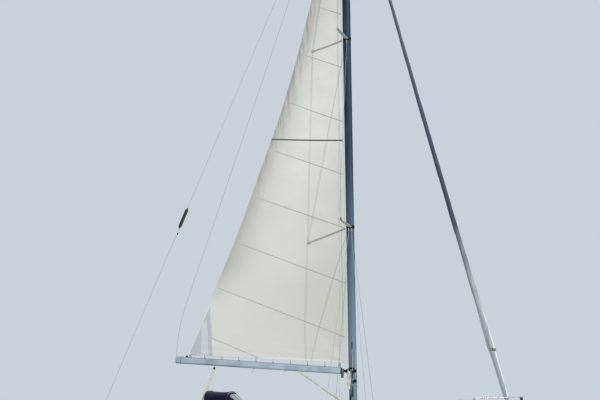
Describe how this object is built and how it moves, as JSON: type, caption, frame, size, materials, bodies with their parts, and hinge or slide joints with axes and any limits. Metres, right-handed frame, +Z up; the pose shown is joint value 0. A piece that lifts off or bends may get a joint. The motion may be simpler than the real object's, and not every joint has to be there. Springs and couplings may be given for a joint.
{
  "type": "sailing yacht",
  "caption": "Masthead sloop afloat: moulded hull with fin keel, swept double-spreader rig, set mainsail on a swinging boom, rolled headsail, spray hood and wheel steering.",
  "frame": {"origin": "centreline at the waterline plane, below the mast heel", "axes": "+X forward to the bow, +Y to port, +Z up"},
  "size_m": [10.2807, 3.3308, 16.4209],
  "materials": {
    "gelcoat": "gloss gelcoat, white",
    "deck_gelcoat": "satin gelcoat, warm white",
    "antifouling": "matt bottom paint, dark blue",
    "painted_alloy": "satin grey paint",
    "engine_paint": "satin enamel",
    "window_acrylic": "smoked acrylic",
    "anodised_mast": "anodised, weathered",
    "anodised_boom": "anodised, silver",
    "anodised_spar": "anodised, satin",
    "cast_alloy": "cast, satin",
    "black_fitting": "matt black",
    "rigging_steel": "stranded stainless wire",
    "polished_steel": "polished stainless",
    "wheel_steel": "polished stainless",
    "winch_chrome": "chromed bronze",
    "bronze": "cast bronze, dulled",
    "dark_plastic": "matt dark brown",
    "pedestal_paint": "white enamel",
    "navy_canvas": "acrylic canvas, navy",
    "sailcloth": "woven polyester sailcloth, off-white",
    "furled_sailcloth": "rolled sailcloth with a grey sun strip",
    "smoked_hatch": "smoked acrylic",
    "seat_teak": "oiled teak slats"
  },
  "bodies": {
    "hull": {"hull": "gelcoat", "deck": "deck_gelcoat", "coachroof": "deck_gelcoat", "cockpit": "deck_gelcoat", "coamings": "deck_gelcoat", "keel": "antifouling", "saildrive_leg": "painted_alloy", "engine": "engine_paint", "cabin_windows": "window_acrylic", "mast": "anodised_mast", "mast_step": "cast_alloy", "masthead": "cast_alloy", "spreader_brackets": "black_fitting", "spreaders": "anodised_spar", "cap_shrouds": "rigging_steel", "intermediate_shrouds": "rigging_steel", "lower_shrouds": "rigging_steel", "forestay": "rigging_steel", "backstay": "rigging_steel", "radar_reflector": "dark_plastic", "gooseneck_bracket": "black_fitting", "chainplates": "polished_steel", "stem_fitting": "polished_steel", "stern_plate": "polished_steel", "winches": "winch_chrome", "mooring_cleats": "cast_alloy", "stanchions": "polished_steel", "pulpit": "polished_steel", "pushpit": "polished_steel", "steering_pedestal": "pedestal_paint", "mainsheet_traveller": "black_fitting", "hatch_garage": "deck_gelcoat", "spray_hood": "navy_canvas"},
    "boom": {"boom": "anodised_boom", "boom_end": "cast_alloy", "gooseneck_toggle": "black_fitting", "sail_posts": "cast_alloy", "mainsail": "sailcloth", "vang": "anodised_spar"},
    "furler": {"furler_drum": "black_fitting", "furled_genoa": "furled_sailcloth"},
    "rudder": {"rudder": "antifouling"},
    "wheel": {"steering_wheel": "wheel_steel"},
    "propeller": {"propeller": "bronze"},
    "companionway_hatch": {"companionway_hatch": "smoked_hatch"},
    "fore_hatch": {"fore_hatch": "smoked_hatch"},
    "anchor_locker_lid": {"anchor_locker_lid": "deck_gelcoat"},
    "locker_lid_port": {"locker_lid_port": "seat_teak"},
    "locker_lid_stbd": {"locker_lid_stbd": "seat_teak"}
  },
  "joints": [
    {"name": "boom_swing", "type": "hinge", "parent": "hull", "child": "boom", "pos_m": [-0.15005, 0, 2.563], "axis": [-0.0166, 0, 0.9999], "range_deg": [-65, 65]},
    {"name": "rudder_turn", "type": "hinge", "parent": "hull", "child": "rudder", "pos_m": [-5.25, 0, 0], "axis": [0, 0, 1], "range_deg": [-35, 35]},
    {"name": "wheel_turn", "type": "hinge", "parent": "hull", "child": "wheel", "pos_m": [-4.73, 0, 1.33], "axis": [1, 0, 0], "range_deg": [-271, 271]},
    {"name": "propeller_spin", "type": "hinge", "parent": "hull", "child": "propeller", "pos_m": [-3.61, 0, -0.69], "axis": [1, 0, 0], "continuous": true},
    {"name": "furler_turn", "type": "hinge", "parent": "hull", "child": "furler", "pos_m": [3.69, 0, 1.4], "axis": [-0.2759, 0, 0.9612], "continuous": true},
    {"name": "hatch_slide", "type": "slide", "parent": "hull", "child": "companionway_hatch", "axis": [1, 0, 0], "range_m": [0, 0.56]},
    {"name": "fore_hatch_lift", "type": "hinge", "parent": "hull", "child": "fore_hatch", "pos_m": [1.57, 0, 1.5165], "axis": [0, 1, 0], "range_deg": [0, 100]},
    {"name": "anchor_lid_lift", "type": "hinge", "parent": "hull", "child": "anchor_locker_lid", "pos_m": [2.48, 0, 1.3615], "axis": [0, -1, 0], "range_deg": [0, 100]},
    {"name": "locker_port_lift", "type": "hinge", "parent": "hull", "child": "locker_lid_port", "pos_m": [-4.375, 0.925, 0.9765], "axis": [-1, 0, 0], "range_deg": [0, 85]},
    {"name": "locker_stbd_lift", "type": "hinge", "parent": "hull", "child": "locker_lid_stbd", "pos_m": [-4.375, -0.925, 0.9765], "axis": [1, 0, 0], "range_deg": [0, 85]}
  ],
  "couplings": [
    {"joint": "wheel_turn", "follows": "rudder_turn", "ratio": 7.7143}
  ]
}
